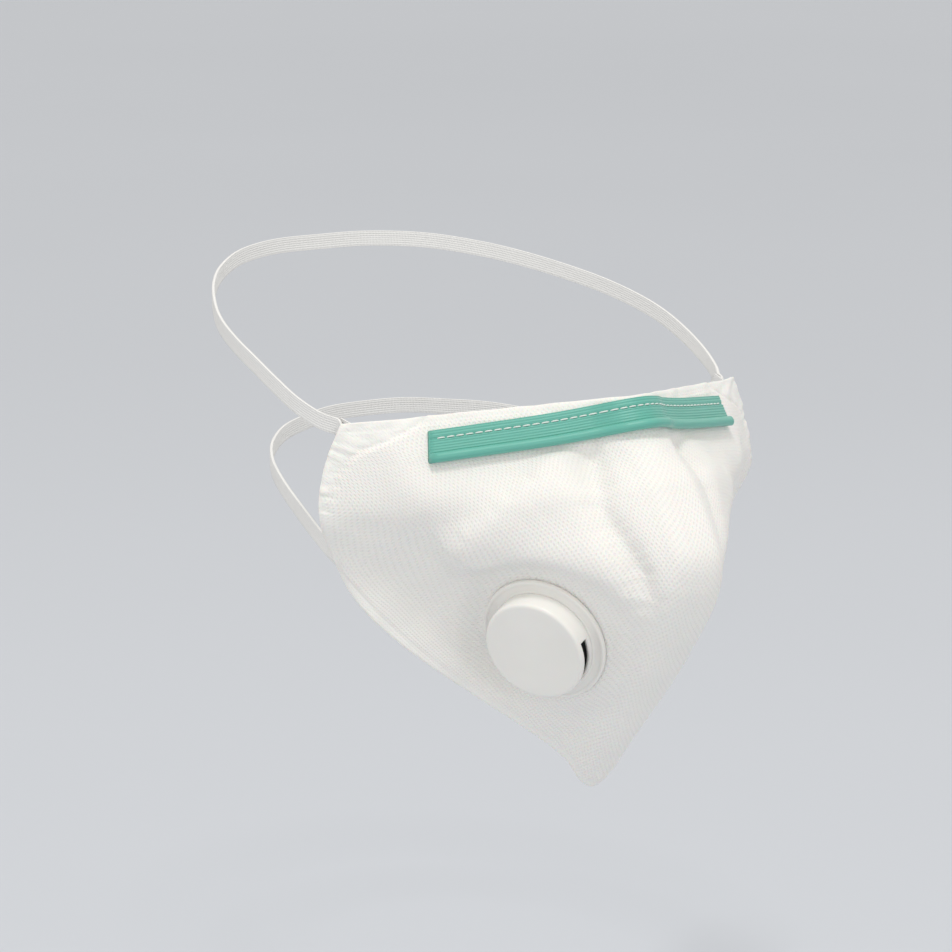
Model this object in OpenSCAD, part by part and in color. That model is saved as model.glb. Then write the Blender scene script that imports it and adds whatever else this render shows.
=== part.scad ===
// Flat-fold half mask with an exhalation valve, opened as it is worn.
// The wearer faces -Y, the wearer's left is +X, and the origin is the centre of the face seal.

/* [Mask] */
// Width across the cheeks
mask_w = 159; // [130:1:192]
// Height from the chin tip to the top of the nose
mask_h = 124; // [104:1:150]
// How far the front of the ridge stands before the cheeks
mask_d = 87; // [72:1:105]

/* [Laminate] */
// Thickness of the embossed outer cover
cover_t = 0.4; // [0.2:0.05:0.8]
// Thickness of the stiffening layer
stiffener_t = 0.6; // [0.3:0.05:1]
// Thickness of the filter layer
filter_t = 0.4; // [0.2:0.05:0.8]
// Thickness of the lining against the face
lining_t = 0.4; // [0.2:0.05:0.8]
// Air between neighbouring layers
layer_gap = 0.2; // [0.1:0.05:0.4]

/* [Nose strip] */
// Length of each half, from the crease to its end
strip_half = 63; // [45:1:70]
// Height of the strip, with its bead
strip_h = 10; // [7:0.1:13]
// Thickness of the strip's flat part
strip_t = 1.2; // [0.8:0.1:2]
// Hem that shows above the strip's middle
strip_drop = 2.2; // [1.5:0.1:4]
// Angle by which each half of the strip falls away from the top edge
strip_fall = 2.5; // [0:0.5:3]
// Diameter of the bead along the lower edge
bead_d = 3; // [2.4:0.1:4]
// Diameter of the wire in the bead
wire_d = 1.4; // [0.8:0.1:1.8]
// Distance from one stitch to the next
stitch_pitch = 2.8; // [2:0.1:4]
// Length of one stitch
stitch_l = 1.8; // [1:0.1:1.8]
// Diameter of the thread
thread_d = 0.5; // [0.3:0.05:0.6]
// Stitching line below the strip's upper edge
stitch_drop = 2.6; // [1.5:0.1:4]

/* [Nose foam] */
// Length of each half of the foam
foam_half = 45; // [30:1:52]
// Height of the foam
foam_h = 11; // [8:0.5:14]
// Thickness of the foam
foam_t = 3.5; // [2:0.5:6]

/* [Valve] */
// Place of the valve's centre across the panel, from 0 at the ridge to 1 at the cheek
valve_across = 0.48; // [0.42:0.01:0.54]
// Place of the valve's centre up the panel, from 0 at the lower edge to 1 at the nose
valve_up = 0.32; // [0.28:0.01:0.36]
// Angle by which the valve's face is raised from the panel's own slope
valve_lift = 4; // [0:0.5:6]
// Turn of the outlet slot below the horizontal
slot_turn = 10; // [0:1:30]
// Diameter of the flange on the outside of the mask
flange_d = 39.5; // [36:0.5:44]
// Thickness of the flange
flange_t = 1.5; // [1:0.1:2.5]
// Bore of the barrel that passes through the laminate
bore_d = 23; // [18:0.5:24]
// Wall of the barrel, the seat lip and the cover's socket
wall = 1.2; // [0.8:0.1:1.6]
// Height of the seat lip above the flange
lip_h = 1; // [0.6:0.1:1.5]
// Diameter of the flap
flap_d = 25.6; // [24:0.1:26.4]
// Thickness of the flap
flap_t = 0.5; // [0.3:0.05:0.8]
// Distance of the flap's hinge line from the valve's centre
hinge_off = 9.6; // [8:0.2:10]
// Diameter of the cover
cap_d = 32; // [31:0.5:34]
// Height of the cover above the flange
cap_h = 6.6; // [6:0.1:9]
// Wall of the cover
cap_t = 1; // [0.8:0.1:1.4]
// Half the angle that the outlet slot spans
slot_half = 24; // [15:1:40]
// Height of the outlet slot
slot_h = 3.4; // [2:0.1:4]
// Width of the clamp ring inside the mask
clamp_w = 5; // [3:0.5:6]
// Thickness of the clamp ring
clamp_t = 1.4; // [1:0.1:2]

/* [Headbands] */
// Width of the elastic
band_w = 5; // [4:0.5:7]
// Thickness of the elastic
band_t = 1; // [0.6:0.1:1.4]

/* [Hidden] */

// Gap between soft pieces and what lies on them
clear = 0.3;
// Gap between rigid pieces that plug together
fit = 0.15;
laminate_t = cover_t + stiffener_t + filter_t + lining_t + 3 * layer_gap;
round_fn = 96;

// Guide curves of one half, from the bottom edge to the top edge, as shares of
// half the width, the depth and the height.
ridge_guide = [
  [0, -0.31, -0.54], [0, -0.54, -0.345], [0, -0.775, -0.15],
  [0, -0.93, 0.065], [0, -0.765, 0.27], [0, -0.56, 0.46]
];
shoulder_guide = [
  [0.27, -0.36, -0.34], [0.225, -0.535, -0.31], [0.245, -0.77, -0.14],
  [0.20, -0.92, 0.08], [0.18, -0.755, 0.265], [0.30, -0.39, 0.435]
];
waist_guide = [
  [0.78, -0.05, -0.19], [0.41, -0.175, -0.11], [0.345, -0.295, 0.015],
  [0.50, -0.345, 0.13], [0.62, -0.27, 0.29], [0.67, -0.18, 0.405]
];
rim_guide = [
  [0.89, 0.05, 0.02], [0.95, 0.03, 0.09], [0.99, 0.01, 0.155],
  [0.995, 0.01, 0.22], [0.96, 0.015, 0.305], [0.905, 0, 0.387]
];

// Grid of the shell: cells across each half, and from the bottom edge to the top
cells_s = 12;
cells_v = 18;

function mix(a, b, t) = a + (b - a) * t;
function unit(a) = a / norm(a);
function clamp01(t) = max(0, min(1, t));
function ease(t) = let (c = clamp01(t)) c * c * (3 - 2 * c);

// Smooth curve through evenly spaced points, at t from 0 to 1
function along(c, t) =
  let (
    last = len(c) - 1,
    i = max(0, min(floor(t * last), last - 1)),
    u = t * last - i,
    b = c[i],
    d = c[i + 1],
    a = i > 0 ? c[i - 1] : 2 * b - d,
    e = i < last - 1 ? c[i + 2] : 2 * d - b
  )
  (2 * b + (d - a) * u + (2 * a - 5 * b + 4 * d - e) * u * u + (3 * b - a - 3 * d + e) * u * u * u) / 2;

function bezier(p, t) =
  let (u = 1 - t)
  u * u * u * p[0] + 3 * u * u * t * p[1] + 3 * u * t * t * p[2] + t * t * t * p[3];

function sized(p) = [p.x * mask_w / 2, p.y * mask_d, p.z * mask_h];
function guide_curve(c) = [for (p = c) sized(p)];
ridge = guide_curve(ridge_guide);
shoulder = guide_curve(shoulder_guide);
waist = guide_curve(waist_guide);
rim = guide_curve(rim_guide);

// One half of the panel before it is pulled flat, with s from the ridge to the rim
function panel(s, v) =
  bezier([along(ridge, v), along(shoulder, v), along(waist, v), along(rim, v)], s);

// Outward normal of a surface, from two ways along it
function normal_of(across, up) = unit(cross(across, up));

// Plane of the nose strip on the +X half: along the top edge, and down the ridge
nose_top = ridge[5];
nose_below = sized([0, -0.64, 0.365]);
edge_dir = unit(rim[5] - nose_top);
strip_out = normal_of(edge_dir, nose_top - nose_below);
edge_up = cross(strip_out, edge_dir);
strip_dir = edge_dir * cos(strip_fall) - edge_up * sin(strip_fall);
strip_up = cross(strip_out, strip_dir);

// Plane of the valve on the -X half
function mirrored(p) = [-p.x, p.y, p.z];
step = 0.01;
valve_at = mirrored(panel(valve_across, valve_up));
panel_out = mirrored(
  normal_of(
    panel(valve_across + step, valve_up) - panel(valve_across - step, valve_up),
    panel(valve_across, valve_up + step) - panel(valve_across, valve_up - step)
  )
);
valve_side = unit([-panel_out.y, panel_out.x, 0]);
panel_down = cross(valve_side, panel_out);
valve_out = panel_out * cos(valve_lift) - panel_down * sin(valve_lift);
valve_down = cross(valve_side, valve_out);

// Moves a point some share of the way to a plane, along a given direction
function to_plane(p, at, out, way, share) = p - way * ((p - at) * out) / (way * out) * share;

// How flat the shell is under the strip and the foam, from 1 to 0
flat_margin = 3;
strip_zone = strip_drop + max(strip_h, foam_h) + flat_margin;
strip_fade = 14;
function strip_share(p) =
  let (q = p - nose_top)
  (1 - ease((-q * strip_up - strip_zone) / strip_fade))
  * (1 - ease((q * strip_dir - max(strip_half, foam_half) - flat_margin) / strip_fade));

// How flat the shell is under the valve, from 1 to 0
valve_zone = flange_d / 2 + flat_margin + 1;
valve_fade = 14;
edge_fade = 0.1;
function valve_share(p, v) =
  (1 - ease((norm(cross(p - valve_at, valve_out)) - valve_zone) / valve_fade)) * ease(v / edge_fade);

// Point of the shell: s from -1 at one rim, over 0 at the ridge, to 1, and v from the bottom to the top
function shell(s, v) =
  let (
    h = panel(abs(s), v),
    f = to_plane(h, nose_top, strip_out, [0, 1, 0], strip_share(h)),
    p = s < 0 ? mirrored(f) : f
  )
  s < 0 ? to_plane(p, valve_at, valve_out, valve_out, valve_share(p, v)) : p;

function shell_out(s, v) =
  normal_of(shell(s + step, v) - shell(s - step, v), shell(s, v + step) - shell(s, v - step));

// Everything about the shell's grid, worked out once
function grid_s(i) = i / cells_s - 1;
function grid_v(j) = j / cells_v;
columns = 2 * cells_s + 1;
rows = cells_v + 1;
grid_at = [for (j = [0 : rows - 1]) for (i = [0 : columns - 1]) shell(grid_s(i), grid_v(j))];
grid_out = [for (j = [0 : rows - 1]) for (i = [0 : columns - 1]) shell_out(grid_s(i), grid_v(j))];

function quad(a, b, c, d) = [[a, b, c], [a, c, d]];
// The cell's two triangles, with the diagonal mirrored about the ridge
function cell(i, j, base) =
  let (a = base + j * columns + i, b = a + 1, c = b + columns, d = a + columns)
  i < cells_s ? quad(a, d, c, b) : quad(b, a, d, c);
function flipped(faces) = [for (f = faces) [f[2], f[1], f[0]]];

// One layer of the laminate, from depth to depth + t behind the outside
module layer(depth, t) {
  n = columns * rows;
  outside = [for (k = [0 : n - 1]) grid_at[k] - grid_out[k] * depth];
  inside = [for (k = [0 : n - 1]) grid_at[k] - grid_out[k] * (depth + t)];
  border = concat(
    [for (i = [0 : columns - 2]) i],
    [for (j = [0 : rows - 2]) j * columns + columns - 1],
    [for (i = [columns - 1 : -1 : 1]) (rows - 1) * columns + i],
    [for (j = [rows - 1 : -1 : 1]) j * columns]
  );
  faces = concat(
    [for (j = [0 : rows - 2]) for (i = [0 : columns - 2]) each cell(i, j, 0)],
    [for (j = [0 : rows - 2]) for (i = [0 : columns - 2]) each flipped(cell(i, j, n))],
    [
      for (k = [0 : len(border) - 1])
        let (a = border[k], b = border[(k + 1) % len(border)])
        each quad(a, b, b + n, a + n)
    ]
  );
  difference() {
    polyhedron(points = concat(outside, inside), faces = faces);
    on_valve() translate([0, 0, -10]) cylinder(r = barrel_r + clear, h = 20, $fn = round_fn);
  }
}

module outer_cover() {
  color("white") layer(0, cover_t);
}

module stiffening_layer() {
  color("whitesmoke") layer(cover_t + layer_gap, stiffener_t);
}

module filter_layer() {
  color("snow") layer(cover_t + stiffener_t + 2 * layer_gap, filter_t);
}

module inner_lining() {
  color("white") layer(laminate_t - lining_t, lining_t);
}

// Both halves of a piece drawn on the +X half of the strip's plane: x along the strip
// from the crease, y up from the mask's top edge, and z out from the shell
module on_strip_halves() {
  reach = 2 * mask_w;
  for (side = [0, 1])
    mirror([side, 0, 0])
      intersection() {
        multmatrix([
          [strip_dir.x, strip_up.x, strip_out.x, nose_top.x],
          [strip_dir.y, strip_up.y, strip_out.y, nose_top.y],
          [strip_dir.z, strip_up.z, strip_out.z, nose_top.z]
        ])
          children();
        translate([0, -reach / 2, -reach / 2]) cube(reach);
      }
}

// Extrudes an outline of (height, distance out) along the strip for a length
module strip_run(length) {
  rotate([90, 0, 90]) translate([0, 0, -10]) linear_extrude(length + 10) children();
}

bead_y = -strip_drop - strip_h + bead_d / 2;
bead_z = clear + bead_d / 2;
stitch_y = -strip_drop - stitch_drop;
groove_w = thread_d + clear;
groove_z = clear + strip_t - thread_d / 2;
wire_bore_d = wire_d + 0.2;
end_margin = 1;

module nose_strip() {
  color("mediumaquamarine")
    on_strip_halves()
      strip_run(strip_half)
        difference() {
          union() {
            translate([bead_y, clear]) square([-strip_drop - bead_y, strip_t]);
            translate([bead_y, bead_z]) circle(d = bead_d, $fn = 32);
          }
          translate([bead_y, bead_z]) circle(d = wire_bore_d, $fn = 32);
          translate([stitch_y - groove_w / 2, groove_z - thread_d / 2 - 0.1]) square([groove_w, strip_t]);
        }
}

module nose_wire() {
  color("silver")
    on_strip_halves()
      strip_run(strip_half - end_margin)
        translate([bead_y, bead_z]) circle(d = wire_d, $fn = 32);
}

module nose_strip_stitches() {
  count = floor((strip_half - 2 * end_margin) / stitch_pitch);
  color("white")
    on_strip_halves()
      for (k = [1 : count])
        translate([(k - 0.5) * stitch_pitch - stitch_l / 2, stitch_y, groove_z])
          rotate([0, 90, 0]) cylinder(d = thread_d, h = stitch_l, $fn = 16);
}

module nose_foam() {
  color("gainsboro")
    on_strip_halves()
      strip_run(foam_half)
        translate([-strip_drop - foam_h, -laminate_t - clear - foam_t]) square([foam_h, foam_t]);
}

// Valve, in a frame with x down the valve's face, y towards the ridge and z outwards
module on_valve() {
  multmatrix([
    [valve_down.x, valve_side.x, valve_out.x, valve_at.x],
    [valve_down.y, valve_side.y, valve_out.y, valve_at.y],
    [valve_down.z, valve_side.z, valve_out.z, valve_at.z]
  ])
    children();
}

barrel_r = bore_d / 2 + wall;
flange_top = clear + flange_t;
clamp_top = -laminate_t - clear;
hook_h = 0.8;
hook_bottom = clamp_top - clamp_t - fit - hook_h;
seat_z = flange_top + lip_h;
seat_gap = 0.1;
flap_z = seat_z + seat_gap;
socket_r = cap_d / 2 - cap_t - fit;
cap_top = flange_top + cap_h;
slot_drop = 0.4;
slot_z = cap_top - cap_t - slot_h - slot_drop;
hinge_rib_d = 1.2;
rib_room = hinge_rib_d + 2 * fit;
hinge_z = flap_z + flap_t / 2;
clip_l = 4;
clip_y = 4;
rib_l = 2 * clip_y + clip_l;

module tube(r, inner_r, z, h) {
  translate([0, 0, z])
    difference() {
      cylinder(r = r, h = h, $fn = round_fn);
      translate([0, 0, -1]) cylinder(r = inner_r, h = h + 2, $fn = round_fn);
    }
}

module valve_base() {
  spoke_w = 1.4;
  hub_d = 5;
  socket_h = 1.6;
  hook_w = 0.5;
  root = 0.5;
  color("white")
    on_valve()
      union() {
        tube(flange_d / 2, bore_d / 2, clear, flange_t);
        tube(barrel_r, bore_d / 2, hook_bottom, flange_top - hook_bottom);
        tube(barrel_r + fit + hook_w, bore_d / 2, hook_bottom, hook_h);
        difference() {
          tube(bore_d / 2 + wall / 2, bore_d / 2, flange_top - root, lip_h + root);
          for (side = [-1, 1])
            translate([-bore_d, side * clip_y - clip_l / 2 - fit, flange_top])
              cube([bore_d, clip_l + 2 * fit, lip_h + 1]);
          translate([-hinge_off - rib_room / 2, -rib_l / 2 - fit, hinge_z - rib_room / 2])
            cube([rib_room, rib_l + 2 * fit, rib_room]);
        }
        tube(socket_r, socket_r - wall, flange_top - root, socket_h + root);
        translate([0, 0, clear]) cylinder(d = hub_d, h = flange_t, $fn = round_fn);
        for (a = [30 : 60 : 150])
          rotate([0, 0, a])
            translate([-spoke_w / 2, -bore_d / 2 - 0.3, clear]) cube([spoke_w, bore_d + 0.6, flange_t]);
      }
}

module valve_clamp_ring() {
  color("white")
    on_valve()
      tube(barrel_r + fit + clamp_w, barrel_r + fit, clamp_top - clamp_t, clamp_t);
}

module valve_flap() {
  color("dimgray")
    on_valve() {
      translate([0, 0, flap_z])
        intersection() {
          cylinder(d = flap_d, h = flap_t, $fn = round_fn);
          translate([-hinge_off, -flap_d, -1]) cube([2 * flap_d, 2 * flap_d, 3]);
        }
      translate([-hinge_off, -rib_l / 2, hinge_z])
        rotate([-90, 0, 0]) cylinder(d = hinge_rib_d, h = rib_l, $fn = 32);
    }
}

// Two clips that hold the flap's rib behind its hinge line
module flap_retainer() {
  clip_r = hinge_rib_d / 2 + wall / 2;
  bore_r = hinge_rib_d / 2 + fit / 2;
  foot_h = 1;
  reach = socket_r - wall - fit;
  outer_y = clip_y + clip_l / 2;
  foot_x = sqrt(reach * reach - outer_y * outer_y) - hinge_off;
  color("white")
    on_valve()
      for (side = [-1, 1])
        translate([-hinge_off, side * clip_y - clip_l / 2, hinge_z])
          difference() {
            union() {
              rotate([-90, 0, 0]) cylinder(r = clip_r, h = clip_l, $fn = 48);
              translate([-foot_x, 0, flange_top - hinge_z]) cube([foot_x - bore_r, clip_l, foot_h]);
            }
            translate([0, -1, 0]) rotate([-90, 0, 0]) cylinder(r = bore_r, h = clip_l + 2, $fn = 48);
            translate([0, -1, -clip_r - 1]) cube([2 * clip_r, clip_l + 2, 2 * clip_r + 2]);
          }
}

module valve_cover() {
  edge_r = 1.2;
  foot_gap = 0.05;
  r = cap_d / 2;
  color("white")
    on_valve()
      difference() {
        rotate_extrude($fn = round_fn)
          difference() {
            union() {
              translate([0, flange_top + foot_gap]) square([r, cap_h - edge_r - foot_gap]);
              translate([0, cap_top - edge_r]) square([r - edge_r, edge_r]);
              translate([r - edge_r, cap_top - edge_r]) circle(r = edge_r, $fn = 48);
            }
            translate([-1, flange_top - 1]) square([r - cap_t + 1, cap_h - cap_t + 1]);
            translate([-2 * r, 0]) square([2 * r, 4 * cap_h]);
          }
        for (side = [0, 180])
          rotate([0, 0, 90 - slot_turn + side])
            translate([0, 0, slot_z])
              linear_extrude(slot_h)
                polygon([[0, 0], 2 * r * [cos(slot_half), -sin(slot_half)], 2 * r * [cos(slot_half), sin(slot_half)]]);
      }
}

// Centre lines of the bands on the +X half, from the hinge line to the middle of the back:
// shares of half the mask's width, distances back from the face seal, and shares of the height
upper_route = [
  [0.874, 6.3, 0.371], [0.912, 12, 0.383], [0.943, 21, 0.411], [0.956, 32, 0.448], [0.956, 44, 0.484],
  [0.943, 56, 0.512], [0.906, 70, 0.54], [0.843, 83, 0.565], [0.742, 98, 0.593], [0.616, 111, 0.617],
  [0.44, 123, 0.637], [0.226, 131, 0.645], [0, 133, 0.645]
];
lower_route = [
  [0.83, 9, 0.032], [0.843, 15, 0.056], [0.843, 24, 0.089], [0.83, 36, 0.129], [0.792, 50, 0.161],
  [0.73, 64, 0.185], [0.629, 78, 0.202], [0.491, 90, 0.218], [0.34, 98, 0.226], [0.176, 103, 0.234],
  [0, 105, 0.234]
];

function worn(route) = [for (p = route) [p.x * mask_w / 2, p.y, p.z * mask_h]];
upper_points = worn(upper_route);
lower_points = worn(lower_route);

// The whole loop, from the -X end to the +X end
function both_halves(c) =
  concat([for (p = c) [-p.x, p.y, p.z]], [for (k = [len(c) - 2 : -1 : 0]) c[k]]);

// A flat band swept along a loop; its ends are round about the hinge line
module band(points) {
  loop = both_halves(points);
  rings = 2 * len(loop);
  r = band_w / 2;
  tip = [0, -1, -0.3];
  ends = [0.02, 0.3, 0.7, 1];
  middle = [for (k = [0 : rings]) along(loop, k / rings)];
  front_a = [for (q = ends) loop[0] + unit(tip) * r * (1 - q)];
  front_b = [for (q = ends) loop[len(loop) - 1] + unit(tip) * r * (1 - q)];
  at = concat(front_a, [for (k = [1 : rings - 1]) middle[k]], [for (k = [3 : -1 : 0]) front_b[k]]);
  half_w = concat(
    [for (q = ends) r * sqrt(1 - (1 - q) * (1 - q))],
    [for (k = [1 : rings - 1]) r],
    [for (k = [3 : -1 : 0]) r * sqrt(1 - (1 - ends[k]) * (1 - ends[k]))]
  );
  last = len(at) - 1;
  side = [
    for (k = [0 : last])
      let (t = unit(at[min(k + 1, last)] - at[max(k - 1, 0)]))
      unit([-t.y, t.x, 0])
  ];
  up = [
    for (k = [0 : last])
      cross(unit(at[min(k + 1, last)] - at[max(k - 1, 0)]), side[k])
  ];
  outline = [[1, 0.7], [0.85, 1], [-0.85, 1], [-1, 0.7], [-1, -0.7], [-0.85, -1], [0.85, -1], [1, -0.7]];
  n = len(outline);
  points3 = [
    for (k = [0 : last]) for (q = outline)
      at[k] + up[k] * q.x * half_w[k] + side[k] * q.y * band_t / 2
  ];
  faces = concat(
    [[for (i = [0 : n - 1]) i]],
    [
      for (k = [0 : last - 1]) for (i = [0 : n - 1])
        let (a = k * n + i, b = k * n + (i + 1) % n)
        each quad(a, a + n, b + n, b)
    ],
    [[for (i = [n - 1 : -1 : 0]) last * n + i]]
  );
  polyhedron(points = points3, faces = faces);
}

module upper_headband() {
  color("white") band(upper_points);
}

module lower_headband() {
  color("white") band(lower_points);
}

// The welded end of a band: from the lining at s, v to the round end of the band at its hinge
module band_weld(hinge, s, v) {
  patch = 0.4;
  behind = laminate_t + clear + patch;
  reach = 3;
  for (side = [0, 1])
    mirror([side, 0, 0])
      difference() {
        hull() {
          for (ds = [-0.08, 0])
            for (dv = [-0.02, 0.02])
              translate(shell(s + ds, v + dv) - shell_out(s + ds, v + dv) * behind)
                cube(patch, center = true);
          translate([hinge.x - band_t / 2, hinge.y - reach, hinge.z - band_w / 2])
            cube([band_t, patch, band_w]);
        }
        translate([hinge.x - band_w, hinge.y, hinge.z])
          rotate([0, 90, 0]) cylinder(r = band_w / 2 + clear, h = 2 * band_w, $fn = 48);
      }
}

module upper_band_welds() {
  color("white") band_weld(upper_points[0], 0.95, 0.94);
}

module lower_band_welds() {
  color("white") band_weld(lower_points[0], 0.95, 0.06);
}

outer_cover();
stiffening_layer();
filter_layer();
inner_lining();
nose_strip();
nose_wire();
nose_strip_stitches();
nose_foam();
valve_base();
valve_clamp_ring();
valve_flap();
flap_retainer();
valve_cover();
upper_headband();
lower_headband();
upper_band_welds();
lower_band_welds();
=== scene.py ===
"""A flat-fold half mask with an exhalation valve, opened as it is worn, around its CAD frame."""
import math

import bmesh
import bpy
import numpy as np
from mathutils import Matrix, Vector


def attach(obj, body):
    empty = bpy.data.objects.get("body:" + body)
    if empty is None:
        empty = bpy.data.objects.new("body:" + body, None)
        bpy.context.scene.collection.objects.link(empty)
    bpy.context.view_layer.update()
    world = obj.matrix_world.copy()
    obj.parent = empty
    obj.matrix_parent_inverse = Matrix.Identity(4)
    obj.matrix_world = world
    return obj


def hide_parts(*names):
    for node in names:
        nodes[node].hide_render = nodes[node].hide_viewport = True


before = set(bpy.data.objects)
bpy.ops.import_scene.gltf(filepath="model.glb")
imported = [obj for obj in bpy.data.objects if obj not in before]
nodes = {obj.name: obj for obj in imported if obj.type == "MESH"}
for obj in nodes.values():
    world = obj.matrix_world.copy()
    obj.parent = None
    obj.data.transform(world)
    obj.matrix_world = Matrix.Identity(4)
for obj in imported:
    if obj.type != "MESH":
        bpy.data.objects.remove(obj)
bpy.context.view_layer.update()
scene = bpy.context.scene

MM = 0.001

# ---------------------------------------------------------------- camera

AZIMUTH, ELEVATION, DISTANCE = -33.0, 11.5, 1.3
AIM = Vector((0, 0.0383, 0.018))

turn, rise = math.radians(AZIMUTH), math.radians(ELEVATION)
backwards = Vector((math.sin(turn) * math.cos(rise), -math.cos(turn) * math.cos(rise), math.sin(rise)))
camera = bpy.data.objects.new("view", bpy.data.cameras.new("view"))
camera.data.sensor_width = 36
camera.data.lens = 158
camera.data.clip_end = 60
camera.location = AIM + backwards * DISTANCE
camera.rotation_euler = backwards.to_track_quat("Z", "Y").to_euler()
scene.collection.objects.link(camera)
scene.camera = camera


# ---------------------------------------------------------------- small tools

def unit(a):
    return a / np.linalg.norm(a, axis=-1, keepdims=True)


def ease(t):
    c = np.clip(t, 0, 1)
    return c * c * (3 - 2 * c)


def mixed(a, b, t):
    return a + (b - a) * t


def along(c, t):
    """Smooth curve through evenly spaced points, at t from 0 to 1, as the CAD source has it."""
    c = np.asarray(c, float)
    last = len(c) - 1
    x = np.asarray(t, float) * last
    i = np.clip(np.floor(x).astype(int), 0, last - 1)
    u = (x - i)[..., None]
    b, d = c[i], c[i + 1]
    a = np.where((i > 0)[..., None], c[np.maximum(i - 1, 0)], 2 * b - d)
    e = np.where((i < last - 1)[..., None], c[np.minimum(i + 2, last)], 2 * d - b)
    return (2 * b + (d - a) * u + (2 * a - 5 * b + 4 * d - e) * u**2 + (3 * b - a - 3 * d + e) * u**3) / 2


def mesh_piece(name, points, faces, uv=None, marks=None):
    """A smooth mesh from points in millimetres. uv is one pair a point, and marks are float attributes.
    Without uv, points that coincide are joined, such as those of a turned profile on its axis."""
    mesh = bpy.data.meshes.new(name)
    mesh.from_pydata((np.asarray(points, float) * MM).tolist(), [], [list(map(int, f)) for f in faces])
    if uv is None:
        work = bmesh.new()
        work.from_mesh(mesh)
        bmesh.ops.remove_doubles(work, verts=work.verts, dist=1e-6)
        bmesh.ops.dissolve_degenerate(work, edges=work.edges, dist=1e-6)
        work.to_mesh(mesh)
        work.free()
    mesh.validate()
    mesh.shade_smooth()
    if uv is not None:
        layer = mesh.uv_layers.new(name="weave")
        corners = np.empty(len(mesh.loops), np.int32)
        mesh.loops.foreach_get("vertex_index", corners)
        layer.data.foreach_set("uv", np.asarray(uv, np.float32)[corners].ravel())
    for key, value in (marks or {}).items():
        mesh.attributes.new(key, "FLOAT", "POINT").data.foreach_set("value", np.asarray(value, np.float32))
    piece = bpy.data.objects.new(name, mesh)
    scene.collection.objects.link(piece)
    return piece


def tube_faces(rings, n):
    """Faces of rings of n points each, joined one to the next and closed at both ends."""
    faces = []
    for k in range(rings - 1):
        for i in range(n):
            a, b = k * n + i, k * n + (i + 1) % n
            faces.append((a, a + n, b + n, b))
    faces.append(tuple(range(n)))
    faces.append(tuple((rings - 1) * n + i for i in reversed(range(n))))
    return faces


# ---------------------------------------------------------------- materials

class Paint:
    """A node material, built with one short call a node."""

    def __init__(self, name):
        self.material = bpy.data.materials.new(name)
        self.material.use_nodes = True
        self.tree = self.material.node_tree
        self.tree.nodes.clear()
        self.out = self.add("ShaderNodeOutputMaterial")
        self.shader = self.add("ShaderNodeBsdfPrincipled")
        self.join(self.shader.outputs["BSDF"], self.out.inputs["Surface"])

    def add(self, kind, **settings):
        made = self.tree.nodes.new(kind)
        for key, value in settings.items():
            setattr(made, key, value)
        return made

    def join(self, a, b):
        self.tree.links.new(a, b)

    def put(self, socket, value):
        if isinstance(value, bpy.types.NodeSocket):
            self.join(value, socket)
        else:
            socket.default_value = value

    def set(self, **values):
        for key, value in values.items():
            self.put(self.shader.inputs[key.replace("_", " ")], value)

    def math(self, how, a, b=0.0, c=0.0):
        made = self.add("ShaderNodeMath", operation=how)
        for socket, value in zip(made.inputs, (a, b, c)):
            self.put(socket, value)
        return made.outputs[0]

    def stretch(self, value, low, high, to_low=0.0, to_high=1.0):
        made = self.add("ShaderNodeMapRange")
        for socket, v in zip(made.inputs, (value, low, high, to_low, to_high)):
            self.put(socket, v)
        return made.outputs[0]

    def mix(self, share, a, b):
        made = self.add("ShaderNodeMix", data_type="RGBA")
        self.put(made.inputs["Factor"], share)
        self.put(made.inputs[6], a)
        self.put(made.inputs[7], b)
        return made.outputs[2]

    def noise(self, where, scale, detail=2.0, rough=0.5):
        made = self.add("ShaderNodeTexNoise")
        self.put(made.inputs["Vector"], where)
        made.inputs["Scale"].default_value = scale
        made.inputs["Detail"].default_value = detail
        made.inputs["Roughness"].default_value = rough
        return made.outputs["Fac"]

    def bump(self, height, depth, strength=1.0):
        made = self.add("ShaderNodeBump")
        self.put(made.inputs["Height"], height)
        made.inputs["Distance"].default_value = depth
        made.inputs["Strength"].default_value = strength
        self.join(made.outputs["Normal"], self.shader.inputs["Normal"])

    def place(self):
        return self.add("ShaderNodeTexCoord").outputs["Object"]

    def weave(self):
        return self.add("ShaderNodeUVMap", uv_map="weave").outputs["UV"]

    def mark(self, name):
        return self.add("ShaderNodeAttribute", attribute_name=name).outputs["Fac"]

    def stretched(self, where, scale):
        made = self.add("ShaderNodeMapping")
        self.put(made.inputs["Vector"], where)
        made.inputs["Scale"].default_value = scale
        return made.outputs["Vector"]


# Millimetres between the pressed points of a row, and between rows
PIT_PITCH, ROW_PITCH = 1.5, 1.1


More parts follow.
